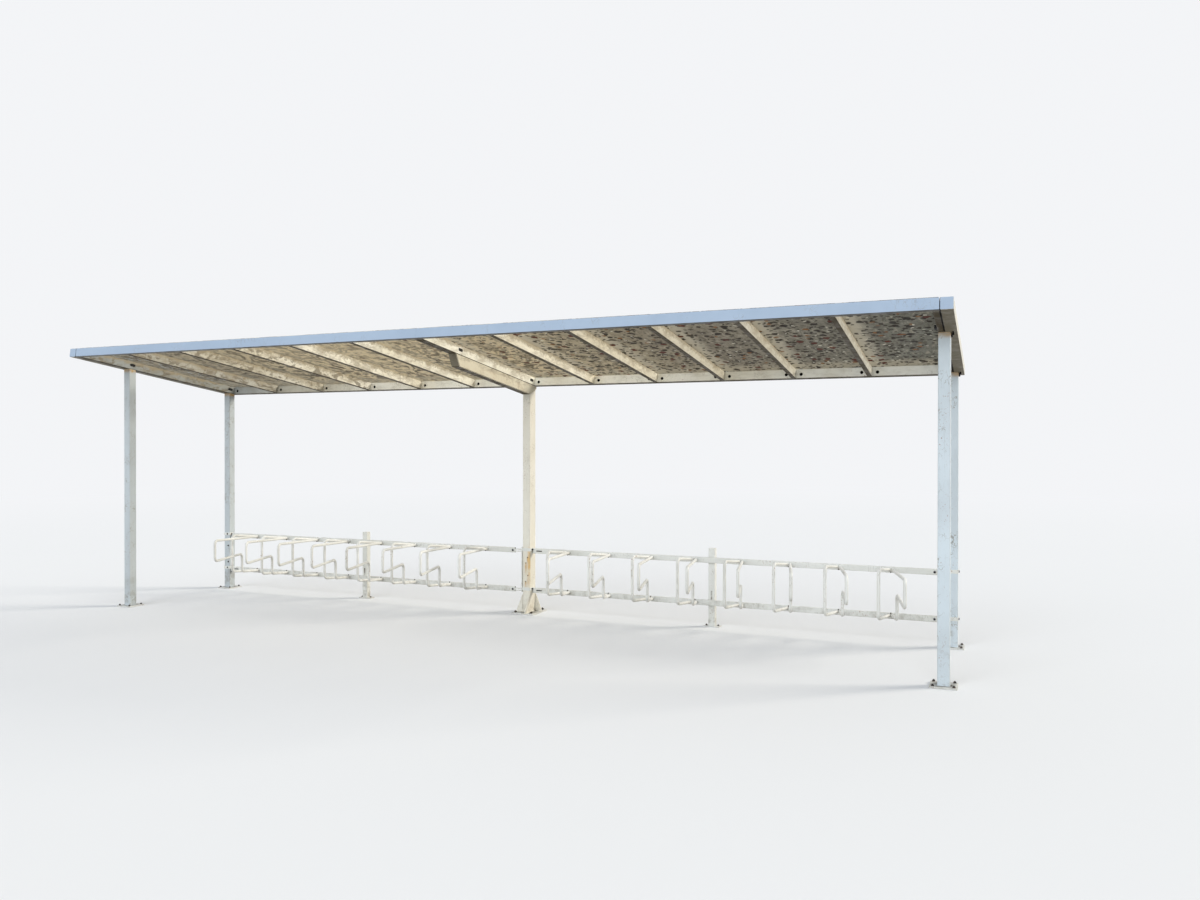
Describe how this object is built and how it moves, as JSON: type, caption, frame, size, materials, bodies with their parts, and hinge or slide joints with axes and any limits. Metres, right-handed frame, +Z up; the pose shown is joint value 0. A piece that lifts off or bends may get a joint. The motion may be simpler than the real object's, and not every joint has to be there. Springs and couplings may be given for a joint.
{
  "type": "bicycle shelter",
  "caption": "Open steel bicycle shelter with a sloping clear roof on posts, over a rail with bent-tube wheel stands.",
  "frame": {"origin": "on the ground under the centre of the whole object", "axes": "+X along the row to the viewer's right, +Y from the open front to the rear rail, +Z up"},
  "size_m": [7.908, 2.0696, 2.5553],
  "materials": {
    "painted_steel": "weathered satin paint",
    "stand_tube": "worn satin paint",
    "roof_sheet": "clear, dulled by leaf dirt"
  },
  "bodies": {
    "root": {"corner_post_front_left": "painted_steel", "corner_post_front_right": "painted_steel", "corner_post_rear_left": "painted_steel", "corner_post_rear_right": "painted_steel", "middle_post": "painted_steel", "middle_foot_plate": "painted_steel", "middle_gussets": "painted_steel", "centre_beam": "painted_steel", "end_beam_left": "painted_steel", "end_beam_right": "painted_steel", "fascia_left_bay": "painted_steel", "rear_beam_left_bay": "painted_steel", "edge_rafter_left_bay_left": "painted_steel", "edge_rafter_left_bay_right": "painted_steel", "rafters_left_bay": "painted_steel", "roof_sheet_left_bay": "roof_sheet", "top_rail_left_bay": "painted_steel", "bottom_rail_left_bay": "painted_steel", "rail_tongues_left_bay": "painted_steel", "wheel_stand_left_bay_1": "stand_tube", "wheel_stand_left_bay_2": "stand_tube", "wheel_stand_left_bay_3": "stand_tube", "wheel_stand_left_bay_4": "stand_tube", "wheel_stand_left_bay_5": "stand_tube", "wheel_stand_left_bay_6": "stand_tube", "wheel_stand_left_bay_7": "stand_tube", "wheel_stand_left_bay_8": "stand_tube", "rail_support_left_bay": "painted_steel", "fascia_right_bay": "painted_steel", "rear_beam_right_bay": "painted_steel", "edge_rafter_right_bay_left": "painted_steel", "edge_rafter_right_bay_right": "painted_steel", "rafters_right_bay": "painted_steel", "roof_sheet_right_bay": "roof_sheet", "top_rail_right_bay": "painted_steel", "bottom_rail_right_bay": "painted_steel", "rail_tongues_right_bay": "painted_steel", "wheel_stand_right_bay_1": "stand_tube", "wheel_stand_right_bay_2": "stand_tube", "wheel_stand_right_bay_3": "stand_tube", "wheel_stand_right_bay_4": "stand_tube", "wheel_stand_right_bay_5": "stand_tube", "wheel_stand_right_bay_6": "stand_tube", "wheel_stand_right_bay_7": "stand_tube", "wheel_stand_right_bay_8": "stand_tube", "rail_support_right_bay": "painted_steel", "hanger_middle_post": "painted_steel", "hanger_rear_right_post": "painted_steel", "straps_rear_left_post": "painted_steel"}
  },
  "joints": []
}
